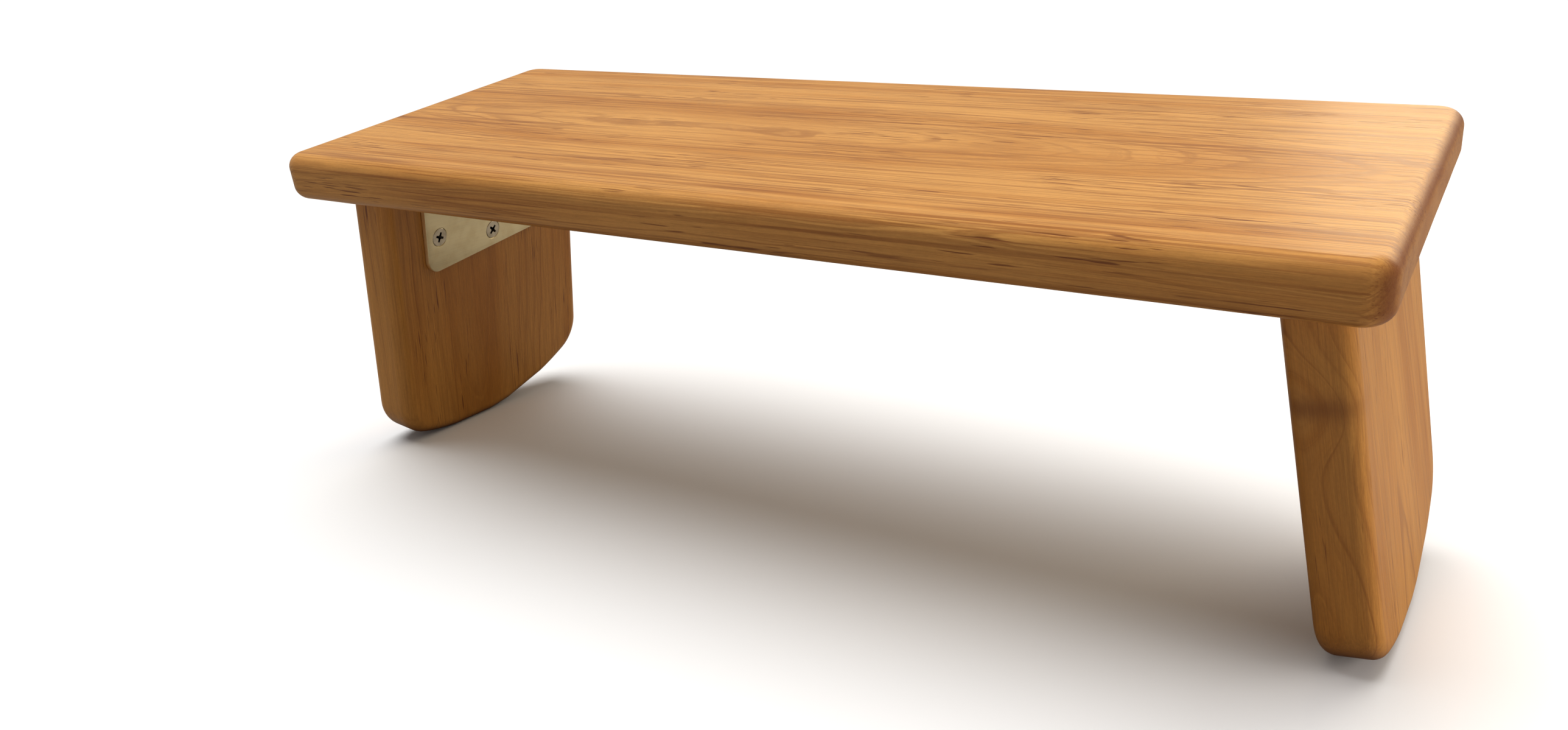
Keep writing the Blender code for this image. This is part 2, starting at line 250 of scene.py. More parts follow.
def shaded(colour, shade):
    """A colour multiplied by one number."""
    grey = put(tree_of(colour), "ShaderNodeCombineColor",
               {"Red": shade, "Green": shade, "Blue": shade}).outputs[0]
    return blend_colour(1.0, colour, grey, "MULTIPLY")


def new_group(name, inputs, outputs, kind="ShaderNodeTree"):
    """A group with its (name, kind) sockets; returns it and its two ends."""
    tree = bpy.data.node_groups.new(name, kind)
    for in_out, sockets in (("INPUT", inputs), ("OUTPUT", outputs)):
        for label, holds in sockets:
            tree.interface.new_socket(label, in_out=in_out,
                                      socket_type="NodeSocket" + holds)
    return tree, tree.nodes.new("NodeGroupInput"), tree.nodes.new("NodeGroupOutput")


# %% [markdown]
# ## The wood
#
# A plank shows growth rings because it is a slice of a tree.  The figure
# could be painted as stripes, but stripes break at every edge.  So the rings
# are solid: each point's distance from the tree's middle, its pith, picks a
# ring, and the same rule colours the face, the rounded edge and the end.
# The pith runs deeper towards one end, which draws the pointed arches of a
# flat-sawn board.  On top lie fibres, thin dark flecks and slow changes of
# tone, and end grain, which drinks the finish and turns dark and red.

# %% Growth rings, one group for all boards
MM = 1000.0
SEED_STRIDE = 131.0
MASKS = ("Rings", "Tone", "Fibre", "Flecks", "Silk", "Knot")


def ring_figure():
    """Masks for rings, tone, fibres, flecks and knot inside a board."""
    tree, start, end = new_group(
        "growth_rings",
        [("Position", "Vector"), ("Pith", "Vector"), ("Pith slope", "Vector"),
         ("Bow", "Float"), ("Threads", "Float"), ("Ring width", "Float"),
         ("Wander", "Float"), ("Seed", "Float"), ("Knot", "Vector"),
         ("Knot size", "Float")],
        [(mask, "Float") for mask in MASKS])
    given = start.outputs
    place = vectors("MULTIPLY", given["Position"], (MM, MM, MM))
    seeded = vectors("ADD", place,
                     vector_of(x=times(given["Seed"], SEED_STRIDE)))

    # The log is never straight: slow bends, and small kinks on top.
    bend_y = maths("SUBTRACT", grainy(seeded, (0.006, 0.016, 0.03)), 0.5)
    bend_z = maths("SUBTRACT", grainy(seeded, (0.008, 0.020, 0.03),
                                      2.0, (40.0, 7.0, 3.0)), 0.5)
    kink = maths("SUBTRACT", grainy(seeded, (0.05, 0.13, 0.13), 3.0), 0.5)
    bend = vector_of(y=times(bend_y, given["Wander"]),
                     z=times(bend_z, given["Wander"], times(kink, 0.8)))
    bent = vectors("ADD", place, bend)

    # Distance from the pith, whose place changes along the board.
    along = x_of(place)
    drift = vectors("MULTIPLY", given["Pith slope"],
                    vector_of(y=along, z=along))
    bow = times(times(along, along), times(given["Bow"], -1.0))
    drift = vectors("ADD", drift, vector_of(z=bow))
    pith = vectors("ADD", given["Pith"], drift)
    offset = vectors("MULTIPLY", vectors("SUBTRACT", bent, pith),
                     (0.0, 1.0, 1.0))
    radius = vectors("LENGTH", offset)

    # A knot pushes the rings aside around it.
    from_knot = vectors("SUBTRACT", bent, given["Knot"])
    away = maths("DIVIDE", vectors("LENGTH", from_knot),
                 given["Knot size"])
    pushed = times(bell(away, 1.0),
                   times(given["Knot size"], 0.9), radius)

    # Rings of uneven width, each with its own strength.
    age = maths("DIVIDE", pushed, given["Ring width"])
    uneven = times(along_line(age), 1.5, age)
    year = maths("FLOOR", uneven)
    season = maths("FRACT", uneven)
    band = times(remap(season, 0.30, 0.86), 0.24)
    line = times(remap(season, 0.74, 0.90), 0.70)
    late = times(maths("ADD", band, line),
                 remap(season, 0.93, 1.0, 1.0, 0.0))
    chance = put(tree, "ShaderNodeTexWhiteNoise", {"W": year},
                 noise_dimensions="1D").outputs["Value"]
    strength = remap(chance, 0.0, 1.0, 0.15, 0.75, smooth=False)
    rings = times(late, strength)

    # Straight dark lines among them: hairs, streaks and fine threads.
    hairs = remap(along_line(times(age, 3.7), 4.0),
                  0.51, 0.66, 0.0, 0.62)
    streaks = remap(grainy(seeded, (0.007, 0.60, 0.60), 4.0,
                           (2.0, 6.0, 4.0)), 0.52, 0.62, 0.0, 0.80)
    threads = remap(grainy(seeded, (0.0045, 1.25, 1.25), 2.0,
                           (7.0, 3.0, 8.0)), 0.575, 0.66, 0.0, 0.70)
    straight = maths("MAXIMUM", hairs, maths("MAXIMUM", streaks, threads))
    rings = maths("MAXIMUM", rings, times(straight, given["Threads"]))
    fade = remap(grainy(seeded, (0.011, 0.07, 0.07), 2.0, (9.0, 1.0, 5.0)),
                 0.30, 0.66, 0.50, 1.25)
    feed(end.inputs["Rings"], times(rings, fade, clamp=True))

    # Slow changes of tone, and the fine grain of fibres and silk.
    slow = along_line(times(age, 0.31), 3.0)
    cloud = grainy(seeded, (0.010, 0.035, 0.035), 2.0, (3.0, 8.0, 1.0))
    feed(end.inputs["Tone"], times(slow, 0.62, times(cloud, 0.38)))
    feed(end.inputs["Fibre"], grainy(seeded, (0.07, 2.6, 2.6), 3.0))
    feed(end.inputs["Silk"], grainy(seeded, (0.55, 1.3, 1.3), 3.0))

    # Flecks lie in loose groups, and the knot has a dark flattened heart.
    strokes = remap(grainy(seeded, (0.050, 1.05, 1.05), 1.0,
                           (0.0, 31.0, 17.0)), 0.625, 0.70)
    where = remap(grainy(seeded, (0.012, 0.06, 0.06), 1.0,
                         (5.0, 2.0, 9.0)), 0.47, 0.62)
    feed(end.inputs["Flecks"], times(strokes, where))
    core = vectors("MULTIPLY", from_knot, (1.7, 0.6, 0.40))
    core = maths("DIVIDE", vectors("LENGTH", core), given["Knot size"])
    feed(end.inputs["Knot"], bell(core, 4.0))
    return tree


def oiled_surface():
    """Colour, roughness and height of lacquered wood from its masks."""
    tree, start, end = new_group(
        "lacquered_wood",
        [(mask, "Float") for mask in MASKS]
        + [("Normal", "Vector"), ("Pale", "Color"), ("Honey", "Color"),
           ("Late wood", "Color"), ("End grain", "Color")],
        [("Colour", "Color"), ("Roughness", "Float"), ("Height", "Float")])
    given = start.outputs
    tone = remap(given["Tone"], 0.30, 0.58)
    body = blend_colour(tone, given["Honey"], given["Pale"])
    body = blend_colour(times(given["Rings"], 0.78),
                        body, given["Late wood"])
    shade = times(times(given["Fibre"], 0.60, 0.72),
                  times(given["Silk"], 0.22, 0.89))
    body = shaded(body, shade)

    # End grain: where the surface faces along the fibres.
    facing = maths("ABSOLUTE", x_of(given["Normal"]))
    ends = times(remap(facing, 0.25, 0.80),
                 remap(facing, 0.86, 1.0, 1.0, 0.50))
    body = blend_colour(times(ends, 0.80), body, given["End grain"])
    dark = maths("MAXIMUM", times(given["Flecks"], 0.85),
                 times(given["Knot"], 0.60))
    body = blend_colour(dark, body, given["End grain"])
    feed(end.inputs["Colour"], body)

    rough = times(given["Silk"], 0.16, 0.30)
    rough = times(given["Rings"], -0.05, rough)
    feed(end.inputs["Roughness"], times(ends, 0.08, rough, clamp=True))
    relief = times(given["Fibre"], 0.5, times(given["Silk"], 0.5))
    relief = times(given["Rings"], 0.35, relief)
    feed(end.inputs["Height"], times(given["Flecks"], -0.9, relief))
    return tree


RINGS = ring_figure()
LACQUER = oiled_surface()
print("wood groups:", RINGS.name, LACQUER.name)

# %% [markdown]
# ## One material for each board
#
# Each board was cut from its own place in its own log, so each gets its own
# pith, ring width and seed.  The two legs share one pair of colours, a little
# deeper and more orange than the seat's: partly the legs' own tone, partly
# painted shade and warm light bounced between the boards.  Object coordinates
# are turned into the board's axes by a Mapping node, which is why the grain
# follows a leg when it folds.

# %% Wood materials
PALE = (0.62, 0.30, 0.078, 1.0)
HONEY = (0.46, 0.185, 0.034, 1.0)
LATE_WOOD = (0.235, 0.068, 0.009, 1.0)
END_GRAIN = (0.17, 0.043, 0.008, 1.0)
# The legs' colours: partly their own tone, partly painted shade and warm bounced light.
LEG_PALE = (0.60, 0.275, 0.060, 1.0)
LEG_HONEY = (0.455, 0.175, 0.026, 1.0)
NO_KNOT = (900.0, 900.0, 900.0)
WOOD_RELIEF = 0.00022


def in_board_axes(tree, source, matrix, kind):
    """Object coordinates or normals, turned into a board's own axes."""
    inverse = matrix.inverted()
    settings = {"Vector": source, "Rotation": inverse.to_euler()}
    if kind == "POINT":
        settings["Location"] = inverse.to_translation()
    return put(tree, "ShaderNodeMapping", settings, vector_type=kind).outputs[0]


def new_material(name):
    """An empty node material: its tree and its Principled shader."""
    material = bpy.data.materials.new(name)
    material.use_nodes = True
    tree = material.node_tree
    return material, tree, tree.nodes["Principled BSDF"]


def dress(shader, colour, looks, strength, relief):
    """Feed a Principled shader from a group's looks, with a fine bump."""
    bump = put(shader.id_data, "ShaderNodeBump",
               {"Height": looks["Height"], "Strength": strength, "Distance": relief})
    feed(shader.inputs["Base Color"], colour)
    feed(shader.inputs["Roughness"], looks["Roughness"])
    feed(shader.inputs["Normal"], bump.outputs[0])


def wood_material(name, matrix, pith, slope, threads, ring_width, wander, seed,
                  bow=0.0, pale=LEG_PALE, honey=LEG_HONEY, knot=NO_KNOT,
                  knot_size=1.0):
    """Lacquered wood for one board; lengths are in millimetres."""
    material, tree, shader = new_material(name)
    source = put(tree, "ShaderNodeTexCoord").outputs
    place = in_board_axes(tree, source["Object"], matrix, "POINT")
    masks = put(tree, "ShaderNodeGroup", {
        "Position": place, "Pith": pith, "Pith slope": slope, "Bow": bow,
        "Threads": threads, "Ring width": ring_width, "Wander": wander,
        "Seed": seed, "Knot": knot, "Knot size": knot_size},
        node_tree=RINGS).outputs
    looks = put(tree, "ShaderNodeGroup", {
        **{mask: masks[mask] for mask in MASKS}, "Pale": pale, "Honey": honey,
        "Late wood": LATE_WOOD, "End grain": END_GRAIN,
        "Normal": in_board_axes(tree, source["Normal"], matrix, "VECTOR")},
        node_tree=LACQUER).outputs
    dress(shader, looks["Colour"], looks, 0.35, WOOD_RELIEF)
    shader.inputs["Specular IOR Level"].default_value = 0.32
    shader.inputs["Coat Weight"].default_value = 0.16
    shader.inputs["Coat Roughness"].default_value = 0.30
    return material


SEAT_WOOD = wood_material(
    "seat_wood", SEAT_AXES, pith=(0.0, -4.0, -24.0), slope=(0.0, -0.01, -0.014),
    bow=0.00013, threads=0.9, ring_width=3.3, wander=5.0, seed=3.0,
    pale=PALE, honey=HONEY)
LEG_WOOD = {
    "left": wood_material(
        "left_leg_wood", LEG_AXES["left"], pith=(0.0, 12.0, 62.0),
        slope=(0.0, 0.05, 0.03), threads=0.45, ring_width=5.2, wander=9.0, seed=8.0),
    "right": wood_material(
        "right_leg_wood", LEG_AXES["right"], pith=(0.0, -30.0, 52.0),
        slope=(0.0, 0.16, -0.06), threads=0.35, ring_width=5.6, wander=10.0,
        seed=12.0, knot=(33.0, -69.0, 15.0), knot_size=15.0)}
print("wood materials:", SEAT_WOOD.name, [m.name for m in LEG_WOOD.values()])

# %% [markdown]
# ## The brass
#
# The leaves, pins and screws are steel with a thin brass finish, brushed and
# a little cloudy.  One group gives all three their brushing, soft stains and
# small dull specks, and each material sets its own colour and direction.


# %% Brass
def brushed_metal():
    """Colour, roughness and height of brushed plate; lengths in mm."""
    tree, start, end = new_group(
        "brushed_plate",
        [("Position", "Vector"), ("Brush", "Vector"), ("Clean", "Color"),
         ("Tarnished", "Color"), ("Roughness", "Float")],
        [("Colour", "Color"), ("Roughness", "Float"), ("Height", "Float")])
    given = start.outputs
    place = vectors("MULTIPLY", given["Position"], (MM, MM, MM))
    brushed = put(tree, "ShaderNodeTexNoise",
                  {"Vector": vectors("MULTIPLY", place, given["Brush"]),
                   "Scale": 1.0, "Detail": 3.0}).outputs["Fac"]
    stain = grainy(place, (0.16, 0.16, 0.16), 5.0)
    specks = remap(grainy(place, (0.9, 0.9, 0.9), 2.0, (4.0, 4.0, 4.0)),
                   0.66, 0.74)
    cloudy = times(specks, 0.35, remap(stain, 0.42, 0.68), clamp=True)
    body = blend_colour(cloudy, given["Clean"], given["Tarnished"])
    line = times(brushed, 0.16, 0.92)
    feed(end.inputs["Colour"], shaded(body, line))
    rough = times(cloudy, 0.09, given["Roughness"])
    feed(end.inputs["Roughness"], times(brushed, 0.10, rough, clamp=True))
    feed(end.inputs["Height"], brushed)
    return tree


BRUSHED = brushed_metal()
BRUSH_RELIEF = 0.00005
# Near-black colour painted into the screws' cross recesses as shade.
PAINTED_RECESS_SHADE = (0.035, 0.028, 0.020, 1.0)


def brass_material(name, brush, clean, tarnished, roughness, painted_recess_shade=None):
    """A brass finish; brush is how fine the lines are along each axis."""
    material, tree, shader = new_material(name)
    looks = put(tree, "ShaderNodeGroup", {
        "Position": put(tree, "ShaderNodeTexCoord").outputs["Object"],
        "Brush": brush, "Clean": clean, "Tarnished": tarnished,
        "Roughness": roughness}, node_tree=BRUSHED).outputs
    colour = looks["Colour"]
    # Faces marked by the named attribute take the near-black colour: painted shade in the cross
    # recesses.
    if painted_recess_shade:
        recess_shade_node = put(tree, "ShaderNodeAttribute", attribute_name=painted_recess_shade)
        colour = blend_colour(recess_shade_node.outputs["Fac"], colour, PAINTED_RECESS_SHADE)
    dress(shader, colour, looks, 0.25, BRUSH_RELIEF)
    shader.inputs["Metallic"].default_value = 1.0
    return material


LEAF_BRASS = brass_material("leaf_brass", (2.4, 0.05, 2.4),
                            (0.98, 0.88, 0.57, 1.0), (0.93, 0.82, 0.52, 1.0), 0.36)
PIN_BRASS = brass_material("pin_brass", (1.8, 1.8, 1.8),
                           (0.78, 0.66, 0.36, 1.0), (0.52, 0.42, 0.22, 1.0), 0.26)
SCREW_BRASS = brass_material("screw_brass", (2.0, 2.0, 2.0),
                             (0.72, 0.66, 0.52, 1.0), (0.50, 0.45, 0.33, 1.0), 0.27,
                             painted_recess_shade="painted_recess_shade")
print("brass materials:", [m.name for m in (LEAF_BRASS, PIN_BRASS, SCREW_BRASS)])

# %% [markdown]
# ## Turning shapes into finished pieces
#
# Every piece is drawn in its board's or hinge's own axes, because that is
# how its maker would mark it out.  Its place is then written into its mesh,
# so the finished object sits at the origin, unturned, as the frame's do.


# %% Piece helpers
SMOOTH_BELOW = 40.0


def loft(rings, closed_tip=None):
    """A closed solid from equal rings of points, capped, or with a tip."""
    bm = bmesh.new()
    loops = [[bm.verts.new(point) for point in ring] for ring in rings]
    count = len(loops[0])
    for lower, upper in zip(loops, loops[1:]):
        for i in range(count):
            j = (i + 1) % count
            bm.faces.new((lower[i], lower[j], upper[j], upper[i]))
    bm.faces.new(loops[0])
    if closed_tip is None:
        bm.faces.new(loops[-1])
    else:
        tip = bm.verts.new(closed_tip)
        for i in range(count):
            bm.faces.new((loops[-1][i], loops[-1][(i + 1) % count], tip))
    bmesh.ops.recalc_face_normals(bm, faces=bm.faces)
    return bm


def as_object(name, bm, material=None, sharp=SMOOTH_BELOW):
    """Link a bmesh as an object, smooth except at its sharp edges."""
    mesh = bpy.data.meshes.new(name)
    bm.to_mesh(mesh)
    bm.free()
    mesh.shade_smooth()
    mesh.set_sharp_from_angle(angle=radians(sharp))
    if material:
        mesh.materials.append(material)
    made = bpy.data.objects.new(name, mesh)
    bpy.context.scene.collection.objects.link(made)
    return made


def as_plain_mesh(source, name, material, sharp=SMOOTH_BELOW):
    """What an object's modifiers make, as a mesh with one material."""
    bpy.context.view_layer.update()
    graph = bpy.context.evaluated_depsgraph_get()
    mesh = bpy.data.meshes.new_from_object(source.evaluated_get(graph))
    source.modifiers.clear()
    mesh.name = name
    mesh.materials.clear()
    mesh.materials.append(material)
    mesh.polygons.foreach_set("material_index", [0] * len(mesh.polygons))
    mesh.shade_smooth()
    mesh.set_sharp_from_angle(angle=radians(sharp))
    return mesh


def cut(target, cutter):
    """Take one object's shape out of another's."""
    modifier = target.modifiers.new(cutter.name, "BOOLEAN")
    modifier.object = cutter
    modifier.operation = "DIFFERENCE"
    modifier.solver = "EXACT"


def finish_piece(mesh, matrix, body, nodes):
    """Put a mesh in its place for good and tie it to the frame."""
    mesh.transform(matrix)
    piece = bpy.data.objects.new(mesh.name, mesh)
    bpy.context.scene.collection.objects.link(piece)
    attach(piece, body)
    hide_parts(*nodes)
    print(piece.name, len(mesh.polygons), "faces on", body)


def discard(*used):
    """Remove objects that only helped to make others."""
    for made in used:
        bpy.data.objects.remove(made)


def arc(centre, radius, start, end, steps):
    """Points on a circle in a plane, both ends included."""
    angles = [start + (end - start) * i / steps for i in range(steps + 1)]
    return [(centre[0] + radius * cos(a), centre[1] + radius * sin(a))
            for a in angles]


def run(start, end, steps):
    """Points inside a straight side, without its ends."""
    return [(start[0] + (end[0] - start[0]) * i / steps,
             start[1] + (end[1] - start[1]) * i / steps)
            for i in range(1, steps)]


# %% [markdown]
# ## Screws, drawn once and repeated
#
# Each leaf has three countersunk screws with a cross recess.  The screw is
# drawn once, with a real helical thread.  A small Geometry Nodes tree then
# sets three of them on a leaf, the middle one further from the pin, each
# stopped at its own angle as a hand-driven screw is.  The same tree places
# the countersunk holes, so a hole cannot miss its screw.

# %% Screw sizes
# The head's size and the places come from the frame.  The shank, the head's
# cone and the clearance are hidden inside it, so they repeat the design's.
SCREWS = {}
for place in ("front", "middle", "back"):
    low, high = measured(f"right_leg_screw_{place}", LEG_AXES["right"])
    SCREWS[place] = (low, high)
low, high = SCREWS["middle"]
HEAD_RADIUS = (high.y - low.y) / 2
SCREW_LENGTH = high.z - low.z
HEAD_FACE = low.z
SCREW_FAR = (low.x + high.x) / 2
low, high = SCREWS["front"]
SCREW_NEAR = (low.x + high.x) / 2
SCREW_SPREAD = abs(low.y + high.y) / 2
SHANK_RADIUS = 0.0022
HEAD_CONE = radians(82.0)
CLEARANCE = 0.0003
HEAD_DEPTH = (HEAD_RADIUS - SHANK_RADIUS) / tan(HEAD_CONE / 2)
print("screw, mm:", round(MM * HEAD_RADIUS, 2), round(MM * SCREW_LENGTH, 2))

# %% One screw
THREAD_PITCH = 0.0016
THREAD_CORE = 0.00155
POINT_LENGTH = 0.0050
HEAD_RIM = 0.00022
NECK = 0.0006
SCREW_SIDES = 32
RECESS_ARM, RECESS_SLOT, RECESS_DEPTH = 0.00250, 0.00056, 0.0021
RECESS_SKIN = 0.00003
RECESS_REACH = 0.0026
SCREW_SHARP = 35.0


def screw_radius(height, angle):
    """The threaded part's radius at a height and an angle round it."""
    turn = (height / THREAD_PITCH - angle / (2 * pi)) % 1.0
    ridge = max(0.0, 1.0 - abs(turn - 0.5) * 4.0)
    to_tip = min(1.0, (SCREW_LENGTH - height) / POINT_LENGTH)
    return (THREAD_CORE + (SHANK_RADIUS - THREAD_CORE) * ridge) * to_tip


def screw_shape():
    """A countersunk wood screw along +Z, its head's face at zero."""
    stations = [(HEAD_RADIUS - HEAD_RIM, 0.0), (HEAD_RADIUS, HEAD_RIM * 0.8),
                (SHANK_RADIUS, HEAD_DEPTH), (THREAD_CORE, HEAD_DEPTH + NECK)]
    angles = [2 * pi * i / SCREW_SIDES for i in range(SCREW_SIDES)]
    rings = [[(r * cos(a), r * sin(a), z) for a in angles] for r, z in stations]
    step = THREAD_PITCH / 8
    height = stations[-1][1] + step
    while height < SCREW_LENGTH - step:
        rings.append([(screw_radius(height, a) * cos(a),
                       screw_radius(height, a) * sin(a), height) for a in angles])
        height += step
    return loft(rings, closed_tip=(0.0, 0.0, SCREW_LENGTH))


def cross_recess():
    """The tapered cross of a driver's tip, to cut from a screw's head."""
    arm, slot, depth = RECESS_ARM, RECESS_SLOT, RECESS_DEPTH
    corner = slot * 1.75
    quarter = [(arm, -slot), (arm, slot), (corner, slot * 1.15), (slot * 1.15, corner)]
    cross = []
    for turn in range(4):
        spin = Matrix.Rotation(turn * pi / 2, 2)
        cross += [tuple(spin @ Vector(point)) for point in quarter]
    rings = []
    for height, scale in ((-depth / 2, 1.28), (0.0, 1.0), (depth, 0.34)):
        rings.append([(x * scale, y * scale, height) for x, y in cross])
    return loft(rings)


screw_source = as_object("screw_source", screw_shape())
recess = as_object("screw_recess", cross_recess())
cut(screw_source, recess)
screw_mesh = as_plain_mesh(screw_source, "one_screw", SCREW_BRASS, SCREW_SHARP)
# Faces inside the cross recess are marked, and the screw material darkens them as painted shade.
painted_recess_shade = screw_mesh.attributes.new("painted_recess_shade", "FLOAT", "FACE")
for face in screw_mesh.polygons:
    spot = face.center
    in_recess = (RECESS_SKIN < spot.z < HEAD_DEPTH
                 and hypot(spot.x, spot.y) < RECESS_REACH)
    painted_recess_shade.data[face.index].value = 1.0 if in_recess else 0.0
screw_source.data = screw_mesh
discard(recess)
print("one screw:", len(screw_mesh.polygons), "faces")

# %% Three places on a leaf
def close_tree(tree, start, end, geometry):
    """End a tree in Realize Instances and Set Material."""
    solid = put(tree, "GeometryNodeRealizeInstances", {"Geometry": geometry})
    painted = put(tree, "GeometryNodeSetMaterial",
                  {"Geometry": solid.outputs[0],
                   "Material": start.outputs["Finish"]})
    tree.links.new(painted.outputs[0], end.inputs[0])


def three_on_a_leaf():
    """Repeats the incoming shape at a leaf's three screw places."""
    tree, start, end = new_group(
        "three_on_a_leaf",
        [("Geometry", "Geometry"), ("Near", "Float"), ("Far", "Float"),
         ("Spread", "Float"), ("Seed", "Int"), ("Finish", "Material")],
        [("Geometry", "Geometry")], "GeometryNodeTree")
    given = start.outputs
    spread = vector_of(y=given["Spread"])
    back = put(tree, "ShaderNodeVectorMath", {0: spread, "Scale": -1.0},
               operation="SCALE").outputs[0]
    row = put(tree, "GeometryNodeMeshLine",
              {"Count": 3, "Start Location": back, "Offset": spread}, mode="OFFSET")
    index = put(tree, "GeometryNodeInputIndex").outputs[0]
    middle = put(tree, "FunctionNodeCompare", {2: index, 3: 1},
                 data_type="INT", operation="EQUAL").outputs[0]
    reach = put(tree, "GeometryNodeSwitch",
                {"Switch": middle, "False": given["Near"], "True": given["Far"]},
                input_type="FLOAT").outputs[0]
    staggered = put(tree, "GeometryNodeSetPosition",
                    {"Geometry": row.outputs[0], "Offset": vector_of(x=reach)})
    # Sockets 2 and 3 are the least and greatest when the kind is FLOAT.
    spin = put(tree, "FunctionNodeRandomValue",
               {2: 0.0, 3: 2 * pi, "Seed": given["Seed"]}, data_type="FLOAT")
    turned = put(tree, "FunctionNodeEulerToRotation",
                 {0: vector_of(z=spin.outputs[1])})
    copies = put(tree, "GeometryNodeInstanceOnPoints",
                 {"Points": staggered.outputs[0], "Instance": given["Geometry"],
                  "Rotation": turned.outputs[0]})
    close_tree(tree, start, end, copies.outputs[0])
    return tree


def with_tree(target, tree, values):
    """Give an object a Geometry Nodes modifier with its inputs set."""
    modifier = target.modifiers.new(tree.name, "NODES")
    modifier.node_group = tree
    for item in tree.interface.items_tree:
        if item.in_out == "INPUT" and item.name in values:
            modifier[item.identifier] = values[item.name]


THREE = three_on_a_leaf()
PLACES = {"Near": SCREW_NEAR, "Far": SCREW_FAR, "Spread": SCREW_SPREAD}


def hole_shape():
    """Clearance for one screw, from just above its head to past its tip."""
    sides = [2 * pi * i / SCREW_SIDES for i in range(SCREW_SIDES)]
    profile = [(HEAD_RADIUS + 2 * CLEARANCE, -2 * CLEARANCE),
               (HEAD_RADIUS + CLEARANCE, 0.0),
               (SHANK_RADIUS + CLEARANCE, HEAD_DEPTH),
               (SHANK_RADIUS + CLEARANCE, SCREW_LENGTH - POINT_LENGTH)]
    rings = [[(r * cos(a), r * sin(a), z) for a in sides] for r, z in profile]
    return loft(rings, closed_tip=(0.0, 0.0, SCREW_LENGTH + CLEARANCE))


hole_source = as_object("hole_source", hole_shape())
with_tree(hole_source, THREE, {**PLACES, "Seed": 0, "Finish": SCREW_BRASS})
HOLES = as_plain_mesh(hole_source, "three_holes", SCREW_BRASS)
HOLES.transform(Matrix.Translation((0.0, 0.0, HEAD_FACE)))


def holes_at(matrix):
    """A cutter for a leaf's three holes, in the leaf's place."""
    cutter = bpy.data.objects.new("holes", HOLES.copy())
    cutter.data.transform(matrix)
    bpy.context.scene.collection.objects.link(cutter)
    return cutter


def owner(leaf):
    """A leaf's side, its board and the body it rides on."""
    side, _, board, _ = leaf.split("_")
    return side, board, "seat" if board == "seat" else f"{side}_leg"


SCREW_SEEDS = {"left_hinge_seat_leaf": 4, "left_hinge_leg_leaf": 11,
               "right_hinge_seat_leaf": 7, "right_hinge_leg_leaf": 2}
for leaf, matrix in LEAF_AXES.items():
    side, board, body = owner(leaf)
    with_tree(screw_source, THREE,
              {**PLACES, "Seed": SCREW_SEEDS[leaf], "Finish": SCREW_BRASS})
    mesh = as_plain_mesh(screw_source, f"{side}_{board}_screws", SCREW_BRASS,
                         SCREW_SHARP)
    place = matrix @ Matrix.Translation((0.0, 0.0, HEAD_FACE))
    nodes = [f"{side}_{board}_screw_{at}" for at in SCREWS]
    finish_piece(mesh, place, body, nodes)

# %% [markdown]
# ## The hinge leaves
#
# A butt hinge's leaf is one plate, rolled at its edge into knuckles that
# take turns with the other leaf's round the pin.  It could be a box with
# tubes stuck on.  Here it is drawn as it is made: one rolled strip in cross
# section, with the thin seam where the roll comes back to the plate, and a
# Geometry Nodes tree then cuts away the places of the other leaf's knuckles.

# %% Leaf sizes
# The leaf's outer sizes come from the frame.  The count of knuckles, the pin,
# the notch gap and the corners repeat the design's.  The rest are looks only.
ROLL_RADIUS = -LEAF_LOW.z
LEAF_REACH = LEAF_HIGH.x
HALF_LEAF = LEAF_HIGH.y
KNUCKLES = 5
PITCH = 2 * HALF_LEAF / KNUCKLES
PIN_RADIUS = 0.0032
BORE_RADIUS = PIN_RADIUS + CLEARANCE
NOTCH_GAP = 0.0008
NOTCH_REACH = ROLL_RADIUS + NOTCH_GAP
LEAF_CORNER = 0.00635
CHAMFER = 0.00045
SEAM_START = 0.0014
ROLL_END = radians(35.0)
ROLL_STEPS = 56
LEAF_SHARP = 30.0
TINY = 1e-6


def rolled_strip():
    """The leaf's cross section drawn along its whole length."""
    outer = arc((0, 0), ROLL_RADIUS, pi / 2, 2 * pi + ROLL_END, ROLL_STEPS)
    inner = arc((0, 0), BORE_RADIUS, 2 * pi + ROLL_END, pi / 2, ROLL_STEPS)
    plate = [(SEAM_START, HEAD_FACE), (LEAF_REACH, HEAD_FACE),
             (LEAF_REACH, ROLL_RADIUS)]
    outline = outer + inner + plate
    return loft([[(x, y, z) for x, z in outline] for y in (-HALF_LEAF, HALF_LEAF)])


def is_at(vert, axis, value):
    """Whether a point lies at a value on one axis."""
    return abs(vert.co[axis] - value) < TINY


def leaf_blank():
    """The rolled strip with round corners and a bright chamfered edge."""
    bm = rolled_strip()
    corners = [e for e in bm.edges
               if all(is_at(v, 0, LEAF_REACH) for v in e.verts)
               and is_at(e.verts[0], 1, e.verts[1].co.y)]
    bmesh.ops.bevel(bm, geom=corners, offset=LEAF_CORNER, segments=10,
                    profile=0.5, affect="EDGES", offset_type="OFFSET")
    bm.normal_update()
    rim = [e for e in bm.edges
           if all(is_at(v, 2, HEAD_FACE) for v in e.verts)
           and any(f.normal.z < -0.9 for f in e.link_faces)
           and any(abs(f.normal.z) < 0.1 for f in e.link_faces)]
    bmesh.ops.bevel(bm, geom=rim, offset=CHAMFER, segments=2, profile=0.6,
                    affect="EDGES", offset_type="OFFSET", clamp_overlap=True)
    return bm


